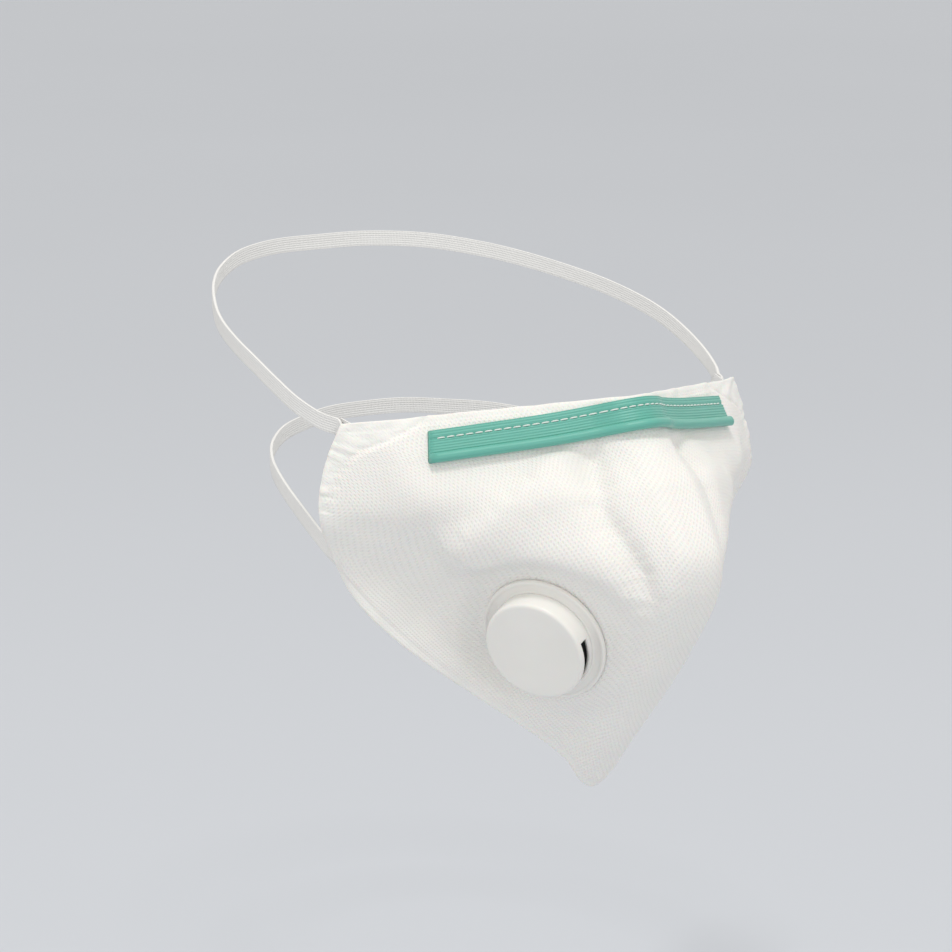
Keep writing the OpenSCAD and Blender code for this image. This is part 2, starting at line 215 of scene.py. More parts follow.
def embossed_cloth(name, white, depth, pit_painted_shade=0.9):
    """Spunbond pressed with staggered rows of small points, whose pits carry painted shade. The mark
    "pressed" is where heat flattened it.
    """
    p = Paint(name)
    where = p.weave()
    axes = p.add("ShaderNodeSeparateXYZ")
    p.put(axes.inputs[0], where)
    columns = p.math("SINE", p.math("MULTIPLY", axes.outputs["X"], 2 * math.pi / PIT_PITCH))
    rows = p.math("SINE", p.math("MULTIPLY", axes.outputs["Y"], 2 * math.pi / (2 * ROW_PITCH)))
    points = p.stretch(p.math("MULTIPLY", columns, rows), 0.05, 0.8)
    pits = p.math("MULTIPLY", points, p.stretch(p.mark("pressed"), 0, 1, 1, 0.25))
    fibres = p.noise(p.stretched(where, (1.0, 2.2, 1.0)), 3.2, 3.0, 0.6)
    crumple = p.math("MULTIPLY", p.noise(where, 0.55, 3.0, 0.6), p.mark("pressed"))
    patches = p.noise(where, 0.045, 2.0)
    height = p.math("SUBTRACT", p.math("MULTIPLY", fibres, 0.45), pits)
    height = p.math("ADD", height, p.math("MULTIPLY", crumple, 2.5))
    p.bump(height, depth)
    shade = p.mix(p.stretch(patches, 0.3, 0.7), white, [c * 0.985 for c in white[:3]] + [1])
    # The pits are painted darker than the cloth around them: painted shade in the pressed points
    low = [c * pit_painted_shade for c in white[:3]] + [1]
    p.set(Base_Color=p.mix(p.math("MULTIPLY", pits, 0.4), shade, low),
          Roughness=p.stretch(fibres, 0.3, 0.7, 0.62, 0.8))
    p.set(Sheen_Weight=0.12, Specular_IOR_Level=0.3, Subsurface_Weight=0.12, Subsurface_Scale=0.0015)
    return p.material


def moulded_plastic(name, colour, rough=0.36):
    """Injection-moulded plastic with a fine grain and faint flow marks."""
    grain, depth = 900.0, 0.00001
    p = Paint(name)
    where = p.place()
    fine = p.noise(where, grain, 2.0)
    broad = p.noise(where, 60.0, 2.0)
    p.bump(fine, depth, 0.6)
    p.set(Base_Color=p.mix(p.stretch(broad, 0.3, 0.7), colour, [c * 0.965 for c in colour[:3]] + [1]),
          Roughness=p.stretch(broad, 0.3, 0.7, rough - 0.05, rough + 0.06))
    p.set(Specular_IOR_Level=0.42, Subsurface_Weight=0.08, Subsurface_Scale=0.001)
    return p.material


WHITE = (0.89, 0.875, 0.845, 1)
# The cover's pits are painted to 0.9 of its white as shade, and the lining's to 0.97
cover_look = embossed_cloth("cover_cloth", WHITE, 0.00011)
lining_look = embossed_cloth("lining_cloth", (0.85, 0.85, 0.84, 1), 0.00005, 0.97)
valve_look = moulded_plastic("valve_white", (0.86, 0.85, 0.815, 1))
# Near-black painted shade for the inside of the valve, which is the same white plastic as the rest
valve_painted_shade = moulded_plastic("valve_inside_painted_shade", (0.020, 0.020, 0.022, 1), 0.6)

# ---------------------------------------------------------------- headbands, first of all the pieces

# The routes of the CAD source: shares of half the width, millimetres back, and shares of the height
MASK_W, MASK_D, MASK_H = 159.0, 87.0, 124.0
UPPER_ROUTE = [
    (0.874, 6.3, 0.371), (0.912, 12, 0.383), (0.943, 21, 0.411), (0.956, 32, 0.448), (0.956, 44, 0.484),
    (0.943, 56, 0.512), (0.906, 70, 0.54), (0.843, 83, 0.565), (0.742, 98, 0.593), (0.616, 111, 0.617),
    (0.44, 123, 0.637), (0.226, 131, 0.645), (0, 133, 0.645)]
LOWER_ROUTE = [
    (0.83, 9, 0.032), (0.843, 15, 0.056), (0.843, 24, 0.089), (0.83, 36, 0.129), (0.792, 50, 0.161),
    (0.73, 64, 0.185), (0.629, 78, 0.202), (0.491, 90, 0.218), (0.34, 98, 0.226), (0.176, 103, 0.234),
    (0, 105, 0.234)]
BAND_W, BAND_T = 5.0, 1.0


def worn(route):
    half = np.array(route) * (MASK_W / 2, 1, MASK_H)
    return np.vstack([half * (-1, 1, 1), half[-2::-1]])


def knit_outline(ribs=7, around=4):
    """Cross-section of the elastic: shares of half its width and half its thickness, ribbed on both faces."""
    x = np.linspace(-0.96, 0.96, ribs * around + 1)
    y = 0.82 + 0.18 * np.cos((x + 1) * math.pi * ribs)
    front = np.stack([x, y], 1)
    ends = np.array([[1.0, 0.45], [1.0, -0.45]])
    return np.vstack([front, ends, front[::-1] * (1, -1), ends[::-1] * (-1, 1)])


def band_sweep(centre, half_w, outline, thick=BAND_T):
    """A flat band along its centre line. Its width stands square to the line and to the level direction
    across it."""
    t = unit(np.gradient(centre, axis=0))
    side = unit(np.stack([-t[:, 1], t[:, 0], np.zeros(len(t))], 1))
    up = np.cross(t, side)
    rings = centre[:, None] + up[:, None] * outline[None, :, :1] * half_w[:, None, None] \
        + side[:, None] * outline[None, :, 1:] * thick / 2
    return rings.reshape(-1, 3), tube_faces(len(centre), len(outline))


def headband(name, node, body, route):
    """A free loop of elastic from one welded end to the other, with round ends about the hinge line."""
    loop = worn(route)
    steps = 16 * (len(loop) - 1)
    line = along(loop, np.linspace(0, 1, steps + 1))
    half = np.full(len(line), BAND_W / 2)
    tip = unit(np.array([0, -1, -0.3]))
    q = np.array([0.02, 0.12, 0.3, 0.55, 0.8])
    starts = [line[0] + tip * BAND_W / 2 * (1 - k) for k in q]
    ends = [line[-1] + tip * BAND_W / 2 * (1 - k) for k in q[::-1]]
    round_w = BAND_W / 2 * np.sqrt(1 - (1 - q) ** 2)
    points = np.vstack([starts, line, ends])
    half = np.concatenate([round_w, half, round_w[::-1]])
    verts, faces = band_sweep(points, half, knit_outline())
    n = len(knit_outline())
    run = np.concatenate([[0], np.cumsum(np.linalg.norm(np.diff(points, axis=0), axis=1))])
    uv = np.stack([np.tile(knit_outline()[:, 0] * BAND_W / 2, len(points)), np.repeat(run, n)], 1)
    piece = mesh_piece(name, verts, faces, uv)
    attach(piece, body)
    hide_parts(node)
    return piece


upper_band = headband("upper_headband_elastic", "upper_headband", "upper_headband", UPPER_ROUTE)
lower_band = headband("lower_headband_elastic", "lower_headband", "lower_headband", LOWER_ROUTE)


def elastic_material():
    """Knitted elastic: fine cross threads between the ribs, slightly loose fibres."""
    p = Paint("knitted_elastic")
    where = p.weave()
    threads = p.add("ShaderNodeTexWave", wave_type="BANDS", bands_direction="Y", wave_profile="SIN")
    p.put(threads.inputs["Vector"], where)
    threads.inputs["Scale"].default_value = 0.62
    threads.inputs["Distortion"].default_value = 0.6
    threads.inputs["Detail"].default_value = 1.0
    fluff = p.noise(where, 4.0, 3.0)
    p.bump(p.math("ADD", p.math("MULTIPLY", threads.outputs["Fac"], 0.7), fluff), 0.00007)
    p.set(Base_Color=p.mix(threads.outputs["Fac"], (0.76, 0.76, 0.75, 1), (0.87, 0.87, 0.86, 1)),
          Roughness=p.stretch(fluff, 0.3, 0.7, 0.65, 0.85))
    p.set(Sheen_Weight=0.15, Specular_IOR_Level=0.3)
    return p.material


elastic_look = elastic_material()
for band in (upper_band, lower_band):
    band.data.materials.append(elastic_look)

# ---------------------------------------------------------------- the shell's shape, as the CAD source has it

SIZE = np.array([MASK_W / 2, MASK_D, MASK_H])
RIDGE = SIZE * [(0, -0.31, -0.54), (0, -0.54, -0.345), (0, -0.775, -0.15), (0, -0.93, 0.065),
                (0, -0.765, 0.27), (0, -0.56, 0.46)]
SHOULDER = SIZE * [(0.27, -0.36, -0.34), (0.225, -0.535, -0.31), (0.245, -0.77, -0.14), (0.20, -0.92, 0.08),
                   (0.18, -0.755, 0.265), (0.30, -0.39, 0.435)]
WAIST = SIZE * [(0.78, -0.05, -0.19), (0.41, -0.175, -0.11), (0.345, -0.295, 0.015), (0.50, -0.345, 0.13),
                (0.62, -0.27, 0.29), (0.67, -0.18, 0.405)]
RIM = SIZE * [(0.89, 0.05, 0.02), (0.95, 0.03, 0.09), (0.99, 0.01, 0.155), (0.995, 0.01, 0.22),
              (0.96, 0.015, 0.305), (0.905, 0, 0.387)]
STRIP_DROP, STRIP_H, STRIP_T, STRIP_HALF, STRIP_FALL = 2.2, 10.0, 1.2, 63.0, 2.5
FOAM_H, FOAM_T, FOAM_HALF = 11.0, 3.5, 45.0
BEAD_D, WIRE_D = 3.0, 1.4
STITCH_PITCH, STITCH_L, STITCH_DROP, THREAD_D = 2.8, 1.8, 2.6, 0.5
VALVE_ACROSS, VALVE_UP, VALVE_LIFT = 0.48, 0.32, 4.0
FLANGE_D, FLANGE_T = 39.5, 1.5
LAMINATE_T, CLEAR = 2.4, 0.3
MIRROR = np.array([-1.0, 1.0, 1.0])


def panel(s, v):
    """The creased +X half, with s from the ridge to the rim and v from the bottom edge to the top."""
    s = np.asarray(s, float)[..., None]
    u = 1 - s
    return u**3 * along(RIDGE, v) + 3 * u * u * s * along(SHOULDER, v) + 3 * u * s * s * along(WAIST, v) \
        + s**3 * along(RIM, v)


nose_top = RIDGE[5]
edge_dir = unit(RIM[5] - nose_top)
strip_out = unit(np.cross(edge_dir, nose_top - SIZE * (0, -0.64, 0.365)))
edge_up = np.cross(strip_out, edge_dir)
fall = math.radians(STRIP_FALL)
strip_dir = edge_dir * math.cos(fall) - edge_up * math.sin(fall)
strip_up = np.cross(strip_out, strip_dir)

STEP = 0.01
valve_at = panel(VALVE_ACROSS, VALVE_UP) * MIRROR
valve_normal = unit(np.cross(
    panel(VALVE_ACROSS + STEP, VALVE_UP) - panel(VALVE_ACROSS - STEP, VALVE_UP),
    panel(VALVE_ACROSS, VALVE_UP + STEP) - panel(VALVE_ACROSS, VALVE_UP - STEP))) * MIRROR
valve_side = unit(np.array([-valve_normal[1], valve_normal[0], 0]))
lift = math.radians(VALVE_LIFT)
valve_out = valve_normal * math.cos(lift) - np.cross(valve_side, valve_normal) * math.sin(lift)
valve_down = np.cross(valve_side, valve_out)


def to_plane(p, at, out, way, share):
    """Points moved along a direction towards the plane through at, by a share of their distance from it."""
    return p - way * (((p - at) @ out) / (way @ out) * share)[..., None]


# Millimetres of flat shell round the strip and its foam, and over which it takes its own shape again
FLAT_MARGIN, FLAT_FADE = 3, 14


def half_shell(s, v):
    """The +X half, pulled flat under the nose strip."""
    h = panel(s, v)
    q = h - nose_top
    below = -q @ strip_up - (STRIP_DROP + FOAM_H + FLAT_MARGIN)
    past = q @ strip_dir - STRIP_HALF - FLAT_MARGIN
    share = (1 - ease(below / FLAT_FADE)) * (1 - ease(past / FLAT_FADE))
    return to_plane(h, nose_top, strip_out, np.array([0, 1.0, 0]), share)


# The soft roll along the ridge: how round its top is, and where its sides meet the panels,
# in millimetres across, from the bottom edge to the top
ROLL_ROUND = [4.5, 3.5, 3.5, 4.5, 5.5, 3.5]
ROLL_TOP = [5.0, 4.5, 5.0, 6.5, 8.0, 6.5]
ROLL_FOOT = [11.0, 11.0, 12.5, 15.5, 16.0, 13.0]


def rolled(x, v):
    """Where a point x from the middle takes its depth and height from, along the CAD's creased row."""
    e, a, b = (np.interp(v, np.linspace(0, 1, 6), c) for c in (ROLL_ROUND, ROLL_TOP, ROLL_FOOT))
    inner = np.sqrt(x * x + e * e) - e
    return inner + (x - inner) * ease((x - a) / (b - a))


CELLS_S, CELLS_V = 104, 150


def shell_grid():
    """The outside of the shell: rows from the bottom edge to the top, columns from the -X rim to the +X."""
    fine = np.linspace(0, 1, 801)
    s = np.abs(np.linspace(-1, 1, 2 * CELLS_S + 1))
    rows = []
    for v in np.linspace(0, 1, CELLS_V + 1):
        dense = half_shell(fine, np.full_like(fine, v))
        x = np.interp(s, fine, dense[:, 0])
        at = np.interp(rolled(x, v), dense[:, 0], fine)
        row = np.stack([x, np.interp(at, fine, dense[:, 1]), np.interp(at, fine, dense[:, 2])], 1)
        row[:CELLS_S, 0] *= -1
        rows.append(row)
    return np.array(rows)


S = np.linspace(-1, 1, 2 * CELLS_S + 1)[None, :] * np.ones((CELLS_V + 1, 1))
V = np.linspace(0, 1, CELLS_V + 1)[:, None] * np.ones((1, 2 * CELLS_S + 1))
shell = shell_grid()


def grid_normals(p):
    """Outward direction at each point of the grid."""
    return unit(np.cross(np.gradient(p, axis=1), np.gradient(p, axis=0)))


def arc_lengths(p):
    """Millimetres across from the ridge, down from the top edge and up from the bottom edge."""
    across = np.cumsum(np.linalg.norm(np.diff(p, axis=1, prepend=p[:, :1]), axis=2), axis=1)
    across -= across[:, CELLS_S:CELLS_S + 1]
    down = np.cumsum(np.linalg.norm(np.diff(p, axis=0, prepend=p[:1]), axis=2), axis=0)
    return across, down[-1:] - down, down


across, down, up_from_edge = arc_lengths(shell)
from_rim = np.minimum(across - across[:, :1], across[:, -1:] - across)
from_edge = np.minimum(np.minimum(down, up_from_edge), from_rim)


def line_field(route, points=60):
    """Each grid point's distance from a smooth line given in s and v, its share along it, and its side."""
    sv = along(np.array(route), np.linspace(0, 1, points))
    i = np.clip(sv[:, 1] * CELLS_V, 0, CELLS_V)
    j = np.clip((sv[:, 0] + 1) * CELLS_S, 0, 2 * CELLS_S)
    line = shell[np.round(i).astype(int), np.round(j).astype(int)]
    best = np.full(S.shape, 1e9)
    share = np.zeros(S.shape)
    side = np.zeros(S.shape)
    for k in range(points - 1):
        a, b = line[k], line[k + 1]
        ab = b - a
        t = np.clip(((shell - a) @ ab) / max(ab @ ab, 1e-9), 0, 1)
        d = np.linalg.norm(shell - a - t[..., None] * ab, axis=2)
        near = d < best
        way = sv[k + 1] - sv[k]
        turned = way[0] * (V - sv[k, 1]) - way[1] * (S - sv[k, 0])
        best = np.where(near, d, best)
        share = np.where(near, (k + t) / (points - 1), share)
        side = np.where(near, np.sign(turned), side)
    return best, share, side


def crease(route, height, left, right, fade=0.2):
    """A soft fold of that height along a line, with its own reach to the left and to the right of it."""
    d, t, side = line_field(route)
    reach = np.where(side > 0, left, right)
    ends = ease(t / fade) * ease((1 - t) / fade)
    return height * np.exp(-(d / reach) ** 2) * ends


# Routes of the folds, as shares across (s) and up (v) of one half
VALLEY = [(0.17, 0.96), (0.27, 0.85), (0.335, 0.74), (0.30, 0.63), (0.20, 0.48)]
CHEEK = [(0.22, 0.95), (0.45, 0.80), (0.64, 0.64), (0.80, 0.40)]
SHELF = [(0.80, 0.39), (0.62, 0.515), (0.42, 0.575), (0.19, 0.475)]

# Height of each fold in millimetres, and its reach towards the ridge or upward and the other way
VALLEY_HEIGHT, VALLEY_REACH = -3.6, (3.5, 5.0)
CHEEK_HEIGHT, CHEEK_REACH = 2.1, (9.0, 4.5)
SHELF_HEIGHT, SHELF_REACH = 2.0, (8.0, 4.5)
# The folds are weaker on the side without the valve
CALM = 0.4

relief = np.zeros(S.shape)
for side_of in (-1, 1):
    calm = CALM if side_of > 0 else 1.0
    for route, height, reach in ((VALLEY, VALLEY_HEIGHT * mixed(1, calm, 0.5), VALLEY_REACH),
                                 (CHEEK, CHEEK_HEIGHT * calm, CHEEK_REACH),
                                 (SHELF, SHELF_HEIGHT * calm, SHELF_REACH)):
        relief += crease([(s * side_of, v) for s, v in route], height, *reach[::-side_of])

# The roll stands fuller over its upper part
ROLL_RISE, ROLL_RISE_HALF = 1.3, 5.5
upper_part = ease((V - 0.58) / 0.08) * (1 - ease((V - 0.86) / 0.08))
relief += ROLL_RISE * (1 - ease((np.abs(shell[..., 0]) - ROLL_RISE_HALF) / 5)) * upper_part

# Slow waves of limp cloth, and small ripples along the top hem
relief += 0.16 * np.sin(across / 7.3 + 1.1) * np.sin(down / 9.1 + 0.4) \
    + 0.10 * np.sin(across / 3.9 + down / 6.1)
relief += 0.22 * np.exp(-(down / 3.5) ** 2) * np.sin(across / 2.1 + 0.8 * np.sin(across / 5.0))

# Flat again under the strip, the foam and the valve
radial = np.linalg.norm(np.cross(shell - valve_at, valve_out), axis=2)
near_valve = np.where(S < 0, (1 - ease((radial - FLANGE_D / 2 - 2) / 8)), 0)
q = (shell * np.where(S < 0, -1, 1)[..., None] ** np.array([1, 0, 0])) - nose_top
below = -q @ strip_up
in_strip = ease((below - 1.4) / 0.8) * (1 - ease((below - STRIP_DROP - STRIP_H) / 4.5)) \
    * (1 - ease((q @ strip_dir - STRIP_HALF) / 4))
relief *= (1 - near_valve) * (1 - in_strip)

outward = grid_normals(shell)
shell = shell + outward * relief[..., None]
valve_share = np.where(S < 0, (1 - ease((radial - FLANGE_D / 2 - 1) / 8)) * ease(V / 0.1), 0)
shell = to_plane(shell, valve_at, valve_out, valve_out, valve_share)
outward = grid_normals(shell)

# Corner tabs, pressed flat outside a curved weld line, and the pressed hem round the edge
TAB = [(0.70, 0.985), (0.865, 0.89), (0.94, 0.81), (0.98, 0.65), (0.99, 0.50)]
tab = np.zeros(S.shape)
seam = np.zeros(S.shape)
for side_of in (-1, 1):
    d, t, side = line_field([(s * side_of, v) for s, v in TAB])
    outside = np.where(side * side_of > 0, 1, -1)
    signed = d * outside
    here = (S * side_of > 0.6) & (V > 0.48)
    tab = np.where(here, np.maximum(tab, ease((signed + 0.3) / 1.2)), tab)
    seam = np.where(here, np.maximum(seam, np.exp(-(d / 0.7) ** 2)), seam)

# Width of the pressed hem, and the line along its inner edge, which comes and goes
HEM = 2.4
hem = 1 - ease((from_edge - HEM + 0.5) / 1.4)
hem_line = np.exp(-((from_edge - HEM) / 0.5) ** 2) * (0.5 + 0.5 * np.sin(across / 19 + 0.6))
pressed = np.clip(np.maximum(tab, 0.7 * hem), 0, 1)
sink = 0.85 * tab + 0.3 * hem * (1 - tab) + np.maximum(0.85 * seam, 0.2 * hem_line)
sink += 0.28 * tab * np.sin(across / 1.7 + 2 * np.sin(down / 2.3)) * np.sin(down / 1.9)

# The hole for the valve's barrel
HOLE_R = 13.4


def cloth(name, top, bottom, look, nodes):
    """A closed sheet between two depths below the outside, with the valve's hole in it."""
    rows, cols = S.shape
    keep = ~((radial < HOLE_R) & (S < 0))
    outside = (shell - outward * top[..., None]).reshape(-1, 3)
    inside = (shell - outward * bottom[..., None]).reshape(-1, 3)
    edge_mid = (outside + inside) / 2
    away = np.zeros_like(shell)
    away[:, 0] = unit(shell[:, 0] - shell[:, 1])
    away[:, -1] = unit(shell[:, -1] - shell[:, -2])
    away[0] += unit(shell[0] - shell[1])
    away[-1] += unit(shell[-1] - shell[-2])
    edge_mid = edge_mid + away.reshape(-1, 3) * ((bottom - top) / 2.2).reshape(-1, 1)
    n = rows * cols
    index = np.arange(n).reshape(rows, cols)
    full = keep[:-1, :-1] & keep[1:, :-1] & keep[:-1, 1:] & keep[1:, 1:]
    a, b, c, d = (index[:-1, :-1][full], index[:-1, 1:][full], index[1:, 1:][full], index[1:, :-1][full])
    front = np.stack([a, b, c, d], 1)
    faces = front.tolist() + (front[:, ::-1] + n).tolist()
    pairs = np.concatenate([front[:, [0, 1]], front[:, [1, 2]], front[:, [2, 3]], front[:, [3, 0]]])
    have = {(int(p), int(r)) for p, r in pairs}
    for p, r in sorted(have):
        if (r, p) not in have:
            faces += [(r, p, p + 2 * n, r + 2 * n), (r + 2 * n, p + 2 * n, p + n, r + n)]
    points = np.vstack([outside, inside, edge_mid])
    rim_points = [np.array(f) for f in faces[len(front) * 2:]]
    used = np.unique(np.concatenate([*rim_points, front.ravel(), front.ravel() + n]))
    place = np.full(3 * n, -1)
    place[used] = np.arange(len(used))
    uv = np.tile(np.stack([across.ravel(), down.ravel()], 1), (3, 1))
    mark = np.tile(pressed.ravel(), 3)
    faces = [[place[k] for k in f] for f in faces]
    piece = mesh_piece(name, points[used], faces, uv[used], {"pressed": mark[used]})
    piece.data.materials.append(look)
    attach(piece, "mask")
    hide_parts(*nodes)
    return piece


# Thickness of the outer two layers together, the air behind them, and how deep the lining's back lies.
# Pressed cloth is thinner
COVER_T, LAYER_AIR, LINING_BACK = 1.1, 0.12, LAMINATE_T - 0.05
thin = mixed(1.0, 0.5, pressed)
cover = cloth("cover_cloth", sink, sink + COVER_T * thin, cover_look, ("outer_cover", "stiffening_layer"))
lining = cloth("lining_cloth", sink + COVER_T * thin + LAYER_AIR, sink + LINING_BACK * thin, lining_look,
               ("filter_layer", "inner_lining"))


# ---------------------------------------------------------------- nose strip, wire, stitches and foam


# The strip rises a little where it is bent over the nose
NOSE_BOW, NOSE_BOW_REACH = 1.3, 16.0


def on_strip(x, y, z, side):
    """A point of the strip's plane, x along from the middle: it follows the same soft roll as the shell."""
    y = np.asarray(y) + NOSE_BOW * np.exp(-(np.asarray(x, float) / NOSE_BOW_REACH) ** 2)
    x0 = y * strip_up[0] + np.asarray(z) * strip_out[0]
    share = rolled(np.abs(np.asarray(x, float)), 0.95)
    run = (share - x0) / strip_dir[0]
    p = nose_top + run[..., None] * strip_dir + y[..., None] * strip_up + np.asarray(z)[..., None] * strip_out
    p[..., 0] = np.abs(x) * side
    return p


# Millimetres from ring to ring of a sweep: closer over the nose, out to SWEEP_NOSE on either side
SWEEP_STEP, SWEEP_FINE, SWEEP_NOSE = 1.0, 0.5, 20
# The strip's ends are cut square over their last millimetres
END_CUT = 8


def strip_sweep(outline, half, name, look, node, end_slant=0.0):
    """Sweeps an outline of (height, distance out) from one end over the nose to the other."""
    outline = np.asarray(outline, float)
    reach = half * strip_dir[0]
    x = np.concatenate([np.arange(-reach, -SWEEP_NOSE, SWEEP_STEP),
                        np.arange(-SWEEP_NOSE, SWEEP_NOSE + 0.01, SWEEP_FINE),
                        np.arange(SWEEP_NOSE + SWEEP_STEP, reach + SWEEP_STEP, SWEEP_STEP)])
    x = np.clip(x, -reach, reach)
    x = np.unique(np.round(x, 6))
    rings = []
    for k in x:
        side = -1.0 if k < 0 else 1.0
        near_end = np.clip((abs(k) - reach + END_CUT) / END_CUT, 0, 1)
        slant = side * end_slant * near_end * (outline[:, 0] - outline[:, 0].max())
        rings.append(on_strip(k - slant, outline[:, 0], outline[:, 1], side))
    rings = np.array(rings)
    faces = tube_faces(len(x), len(outline))
    run = np.repeat(x / strip_dir[0], len(outline))
    round_ = np.concatenate([[0], np.cumsum(np.linalg.norm(np.diff(outline, axis=0), axis=1))])
    uv = np.stack([run, np.tile(round_, len(x))], 1)
    piece = mesh_piece(name, rings.reshape(-1, 3), faces, uv)
    piece.data.materials.append(look)
    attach(piece, "mask")
    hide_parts(node)
    return piece


def teal_strip():
    """Extruded plastic: long drawn lines, faint milky rub marks, and a satin gloss."""
    p = Paint("teal_extrusion")
    where = p.weave()
    drawn = p.noise(p.stretched(where, (0.05, 4.0, 1.0)), 1.0, 3.0)
    rub = p.noise(p.stretched(where, (0.12, 0.5, 1.0)), 1.0, 4.0, 0.6)
    p.bump(drawn, 0.00004)
    tint = p.mix(p.stretch(drawn, 0.3, 0.7), (0.115, 0.41, 0.335, 1), (0.145, 0.465, 0.385, 1))
    p.set(Base_Color=p.mix(p.stretch(rub, 0.5, 0.8, 0, 0.25), tint, (0.22, 0.56, 0.46, 1)),
          Roughness=p.stretch(rub, 0.3, 0.75, 0.3, 0.46))
    p.set(Specular_IOR_Level=0.45, Subsurface_Weight=0.06, Subsurface_Scale=0.0008)
    return p.material


bead_y = -STRIP_DROP - STRIP_H + BEAD_D / 2
bead_z = CLEAR + BEAD_D / 2
stitch_y = -STRIP_DROP - STITCH_DROP


RIB_H, RIB_PITCH = 0.06, 0.82
GROOVE_DEPTH, GROOVE_HALF = 0.34, 0.34


def strip_outline():
    """Flat back, ribbed front with the stitching groove, and the bead along the lower edge."""
    top, foot = -STRIP_DROP, bead_y + BEAD_D / 2
    y = np.linspace(top - 0.12, foot - 0.1, 110)
    ribs = RIB_H * np.cos((y - top) * 2 * math.pi / RIB_PITCH)
    groove = GROOVE_DEPTH * np.exp(-(((y - stitch_y) / GROOVE_HALF) ** 4))
    front = np.stack([y, CLEAR + STRIP_T - 0.1 + ribs - groove], 1)
    angle = np.radians(np.linspace(62, -205, 40))
    bead = np.stack([bead_y + BEAD_D / 2 * np.sin(angle), bead_z + BEAD_D / 2 * np.cos(angle)], 1)
    back = np.array([[bead_y + BEAD_D / 2, CLEAR], [top - 0.15, CLEAR], [top, CLEAR + 0.2],
                     [top, CLEAR + STRIP_T - 0.35]])
    return np.vstack([front, bead, back])


END_SLANT = 0.22
strip_sweep(strip_outline(), STRIP_HALF, "nose_strip_ribbed", teal_strip(), "nose_strip", END_SLANT)

# The wire's ends just show at the ends of the bead
WIRE_SHOWS = 0.15
circle = np.radians(np.arange(0, 360, 22.5))
wire_outline = np.stack([bead_y + WIRE_D / 2 * np.sin(circle), bead_z + WIRE_D / 2 * np.cos(circle)], 1)


def plain_metal():
    """Drawn wire."""
    p = Paint("zinc_wire")
    where = p.place()
    drawn = p.noise(where, 700.0, 2.0)
    p.bump(drawn, 0.00001)
    p.set(Base_Color=p.mix(drawn, (0.5, 0.5, 0.51, 1), (0.66, 0.66, 0.67, 1)),
          Roughness=p.stretch(drawn, 0.3, 0.7, 0.3, 0.45))
    p.set(Metallic=1.0)
    return p.material


strip_sweep(wire_outline, STRIP_HALF + WIRE_SHOWS, "nose_wire_round", plain_metal(), "nose_wire")


def thread_material():
    """Twisted sewing thread."""
    p = Paint("sewing_thread")
    twist = p.noise(p.stretched(p.place(), (900.0, 900.0, 900.0)), 1.0, 2.0)
    p.bump(twist, 0.00004)
    p.set(Base_Color=p.mix(twist, (0.62, 0.74, 0.69, 1), (0.80, 0.87, 0.84, 1)),
          Roughness=p.stretch(twist, 0.3, 0.7, 0.55, 0.75))
    return p.material


def stitches():
    """Each stitch is a short arched thread that dips into the strip at its ends."""
    points, faces = [], []
    reach = STRIP_HALF * strip_dir[0]
    count = round((STRIP_HALF - 1) / STITCH_PITCH)
    n, rings = 8, 9
    ring = np.radians(np.arange(0, 360, 360 / n))
    for side in (-1.0, 1.0):
        for k in range(count):
            middle = (k + 0.5) * STITCH_PITCH
            for r, u in enumerate(np.linspace(-1, 1, rings)):
                x = (middle + u * (STITCH_L / 2 + 0.2)) * strip_dir[0]
                out = CLEAR + STRIP_T - 0.12 - 0.35 * u**4
                width = THREAD_D / 2 * (1.0 - 0.25 * u * u)
                y, z = stitch_y + width * np.sin(ring), out + width * np.cos(ring)
                points += on_strip(np.full(n, min(x, reach)), y, z, side).tolist()
            base = len(points) - n * rings
            faces += [tuple(base + i for i in f) for f in tube_faces(rings, n)]
    piece = mesh_piece("nose_strip_thread", points, faces)
    piece.data.materials.append(thread_material())
    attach(piece, "mask")
    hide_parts("nose_strip_stitches")


stitches()


def foam_material():
    """Fine open-cell foam."""
    p = Paint("open_cell_foam")
    where = p.place()
    cells = p.add("ShaderNodeTexVoronoi", feature="F1")
    p.put(cells.inputs["Vector"], where)
    cells.inputs["Scale"].default_value = 1500.0
    broad = p.noise(where, 120.0, 2.0)
    p.bump(cells.outputs["Distance"], 0.00025)
    p.set(Base_Color=p.mix(cells.outputs["Distance"], (0.40, 0.41, 0.42, 1), (0.66, 0.67, 0.68, 1)),
          Roughness=p.stretch(broad, 0.3, 0.7, 0.85, 0.97))
    p.set(Specular_IOR_Level=0.2, Sheen_Weight=0.1)
    return p.material


def foam_outline():
    """A rounded strip of foam, crowned on the side of the face."""
    y0, y1 = -STRIP_DROP - FOAM_H, -STRIP_DROP
    z0, z1 = -LAMINATE_T - CLEAR - FOAM_T, -LAMINATE_T - CLEAR
    r = 1.1
    corner = np.radians(np.linspace(0, 90, 7))
    pts = []
    for cy, cz, turn_by in ((y1 - r, z1 - r, 0), (y0 + r, z1 - r, 90), (y0 + r, z0 + r, 180),
                            (y1 - r, z0 + r, 270)):
        a = corner + math.radians(turn_by)
        pts += np.stack([cy + r * np.cos(a), cz + r * np.sin(a)], 1).tolist()
    return np.array(pts)[::-1]


foam = strip_sweep(foam_outline(), FOAM_HALF, "nose_foam_pad", foam_material(), "nose_foam")

# ---------------------------------------------------------------- valve


def on_valve(p):
    """Points of the valve's own frame, with its axis as the third coordinate, in the part's frame."""
    p = np.asarray(p, float)
    return valve_at + p[..., :1] * valve_down + p[..., 1:2] * valve_side + p[..., 2:3] * valve_out


